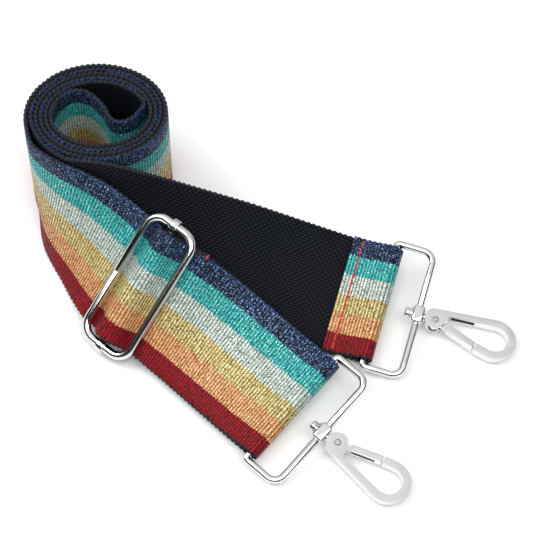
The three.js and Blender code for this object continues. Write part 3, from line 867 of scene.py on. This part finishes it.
def build_ring(arm, letter, gate_side):
    middle, along, across, normal = arm.frame(arm.length)
    ring = basis(middle + normal * RING_BAR_HEIGHT, along, across, normal)
    ring = ring @ Matrix.Rotation(math.radians(RING_DROP[letter]), 4, "Y")
    y = (RING_INNER + RING_WIRE) / 2
    corners = [(RING_REACH, 1, 0), (RING_REACH, y, 0), (0, y, 0), (0, -y, 0), (RING_REACH, -y, 0),
               (RING_REACH, -1, 0)]
    path = cornered(corners, [4.6, 1.7, 1.7, 4.6])
    wire = wire_mesh(path, RING_WIRE / 2)
    boss = rounded_box_mesh((BOSS_DEPTH, BOSS_LENGTH, BOSS_HEIGHT), (RING_REACH, 0, 0), 1.1)
    ring_piece = add_piece(
        f"wire_ring_{letter}", joined("ring", [wire, boss]), (NICKEL,), f"ring_{letter}",
        ring, (f"ring_{letter}",),
    )
    sharpened(ring_piece)
    inner = RING_REACH - BOSS_DEPTH / 2 - RUNNING_GAP
    outer = RING_REACH + BOSS_DEPTH / 2 + RUNNING_GAP
    hook = ring @ Matrix.Rotation(math.radians(HOOK_ROLL[letter]), 4, "X")
    body = f"hook_{letter}"
    washer = hollow_lathe_mesh([
        (inner, 1.5), (inner, 2.6), (inner - 0.1, 2.7), (inner - 0.4, 2.7), (inner - 0.5, 2.6),
        (inner - 0.5, 1.5),
    ])
    sharpened(add_piece(
        f"thin_washer_{letter}", joined("washer", [washer]), (NICKEL,), body, hook,
        (f"swivel_washer_{letter}",),
    ))
    head = inner - 0.8
    post = lathe_mesh([
        (head - 1.9, 0.4), (head - 1.9, 1.5), (head - 1.75, 1.85), (head - 1.4, 2.15), (head - 0.2, 2.2),
        (head, 2.05), (head, 1.25), (outer - 0.2, 1.25), (outer - 0.1, 1.7), (outer + 0.35, 1.75),
        (outer + 1.2, 1.25),
    ])
    sharpened(add_piece(
        f"swivel_rivet_{letter}", joined("rivet", [post]), (NICKEL,), body, hook,
        (f"swivel_post_{letter}",),
    ))
    turned = hook @ Matrix.Translation((outer, 0, 0))
    if gate_side < 0:
        turned = turned @ Matrix.Rotation(math.pi, 4, "X")
    build_hook(letter, body, turned)


def build_hook(letter, body, turned):
    outline, tip = hook_outline()
    half = HOOK_THICKNESS / 2
    slot = box_mesh((PLATE_RADIUS - 2.1, -1.8, -1.2), (PLATE_RADIUS + 9.9, 10.2, 1.2))
    bore = lathe_mesh([(-1, 1.4), (1.6, 1.4)])
    pivot = Vector((PLATE_RADIUS, 0.4))
    upright = Matrix.Translation((pivot.x, pivot.y, 0)) @ Matrix.Rotation(-math.pi / 2, 4, "Y")
    pin_bore = lathe_mesh([(-3, 1.34), (3, 1.34)])
    recess = box_mesh((10.5, -4.7, -0.95), (20, -1.5, 0.95))
    pin_bore.transform(upright)
    hook = carved(extruded(outline, HOOK_THICKNESS), [slot, bore, pin_bore, recess], 0.6)
    recessed(hook, (10.4, -4.8, -1), (20.1, -3.6, 1))
    sharpened(add_piece(
        f"snap_hook_{letter}", joined("hook", [hook]), (NICKEL, RECESS_PAINTED_SHADE), body, turned,
        (f"hook_body_{letter}",),
    ), 50)
    pin = lathe_mesh([
        (-half, 0.4), (-half, 0.95), (-half + 0.15, 1.12), (half - 0.15, 1.12), (half, 0.95), (half, 0.4),
    ])
    pin.transform(upright)
    sharpened(add_piece(
        f"pivot_pin_{letter}", joined("pin", [pin]), (STEEL,), body, turned,
        (f"gate_pivot_pin_{letter}",),
    ))
    reach = tip - pivot
    turn = math.atan2(reach.y, reach.x)
    gate = turned @ Matrix.Translation((pivot.x, pivot.y, 0)) @ Matrix.Rotation(turn, 4, "Z")
    build_gate(letter, gate, reach.length - 0.5)
    # A turn of fine wire lies round the pin above the gate's eye, and ends in a short leg.
    turns = 1.2
    steps = 40
    path = [Vector((4.4, -1.5, 0.66)), Vector((3, -1.6, 0.64))]
    for i in range(steps + 1):
        a = -1.2 + 2 * math.pi * turns * i / steps
        path.append(Vector((1.62 * math.cos(a), 1.62 * math.sin(a), 0.62 + 0.12 * i / steps)))
    spring = wire_mesh(path, 0.16, 10, 0.05)
    add_piece(
        f"torsion_spring_{letter}", joined("spring", [spring]), (STEEL,), body, gate,
        (f"gate_spring_{letter}",),
    )


def build_gate(letter, gate, reach):
    width = BAR_WIDTH - 0.2
    half = width / 2
    outline = [
        (5.8, -half), (reach - 0.2, -half), (reach - 0.2, -0.2), (reach + 0.15, -0.2),
        (reach + 0.15, half), (5.8, half),
    ]
    groove = box_mesh((5, -half - 1, -0.95), (15.5, -0.2, 0.95))
    bar = carved(extruded(outline, HOOK_THICKNESS - 0.2), [groove], 0.4)
    recessed(bar, (4.9, -half + 0.3, -1), (15.6, -0.1, 1))
    neck = box_mesh((1.2, -1.1, -0.9), (6.3, 1.1, 0.3))
    eye = hollow_lathe_mesh([(-0.6, 1.1), (-0.6, 2.1), (0.6, 2.1), (0.6, 1.1)])
    eye.transform(Matrix.Translation((0, 0, -0.3)) @ Matrix.Rotation(-math.pi / 2, 4, "Y"))
    sharpened(add_piece(
        f"hook_gate_{letter}", joined("gate", [bar, neck, eye]), (NICKEL, RECESS_PAINTED_SHADE), f"gate_{letter}",
        gate, (f"gate_{letter}",),
    ), 50)


webbing = build_webbing()
row_b = build_stitching(
    "tab_stitches_b", "end_tab_stitching", ARM_B, ARM_B.length - STITCH_BEFORE_FOLD,
    TAB_HEIGHT_B + STITCH_RISE, "webbing",
)
row_a = build_stitching(
    "tab_stitches_a", "slider_tab_stitching", ARM_A, SLIDER_AT + STITCH_BEYOND_SLIDER,
    TAB_HEIGHT_A + STITCH_RISE, "webbing", loose_end=True,
)
build_slider()
build_ring(ARM_A, "a", 1)
build_ring(ARM_B, "b", -1)


# ---- floor, light and camera ----
def build_floor():
    side = 3.0
    mesh = mesh_of("floor", [(-side, -side, 0), (side, -side, 0), (side, side, 0), (-side, side, 0)],
                   [(0, 1, 2, 3)])
    g = Graph("pale_floor")
    g.shader.inputs["Base Color"].default_value = (0.93, 0.93, 0.93, 1.0)
    g.shader.inputs["Roughness"].default_value = 0.7
    mesh.materials.append(g.material)
    floor = bpy.data.objects.new("floor", mesh)
    bpy.context.scene.collection.objects.link(floor)
    floor.location.z = -0.0001


def add_light(name, place, target, size, power):
    light = bpy.data.lights.new(name, "AREA")
    light.shape = "RECTANGLE"
    light.size, light.size_y = size
    light.energy = power
    lamp = bpy.data.objects.new(name, light)
    bpy.context.scene.collection.objects.link(lamp)
    lamp.location = place
    lamp.rotation_euler = (Vector(target) - Vector(place)).to_track_quat("-Z", "Y").to_euler()


def build_world():
    """A bright studio that is darker round its walls, so that polished metal has something to show."""
    world = bpy.data.worlds.new("studio")
    bpy.context.scene.world = world
    world.use_nodes = True
    tree = world.node_tree
    place = tree.nodes.new("ShaderNodeTexCoord")
    height = tree.nodes.new("ShaderNodeVectorMath")
    height.operation = "DOT_PRODUCT"
    height.inputs[1].default_value = (0.0, 0.3, 0.95)
    ramp = tree.nodes.new("ShaderNodeValToRGB")
    tree.links.new(place.outputs["Generated"], height.inputs[0])
    tree.links.new(height.outputs["Value"], ramp.inputs[0])
    tree.links.new(ramp.outputs[0], tree.nodes["Background"].inputs["Color"])
    tree.nodes["Background"].inputs["Strength"].default_value = 0.85
    stops = [(0.0, 0.3), (0.05, 0.02), (0.42, 0.015), (0.55, 0.7), (0.84, 0.82), (1.0, 1.12)]
    while len(ramp.color_ramp.elements) < len(stops):
        ramp.color_ramp.elements.new(0.5)
    for element, (position, tone) in zip(ramp.color_ramp.elements, stops):
        element.position = position
        element.color = (tone, tone, tone, 1.0)


def build_camera():
    elevation = math.radians(58)
    distance = 0.886
    target = Vector((SHIFT.x * MM, SHIFT.y * MM, 0))
    camera = bpy.data.cameras.new("camera")
    camera.sensor_fit = "HORIZONTAL"
    camera.angle = math.radians(14)
    camera.clip_start = 0.01
    holder = bpy.data.objects.new("camera", camera)
    bpy.context.scene.collection.objects.link(holder)
    holder.location = target + Vector((0, -math.cos(elevation), math.sin(elevation))) * distance
    holder.rotation_euler = (math.pi / 2 - elevation, 0, 0)
    bpy.context.scene.camera = holder


build_floor()
build_world()
build_camera()
add_light("key", (0.1, -0.42, 1.0), (0, 0, 0), (1.3, 0.7), 8.5)
add_light("fill", (-0.65, 0.15, 0.85), (0, 0, 0), (0.5, 0.6), 4.5)
bpy.context.scene.view_settings.view_transform = "Standard"
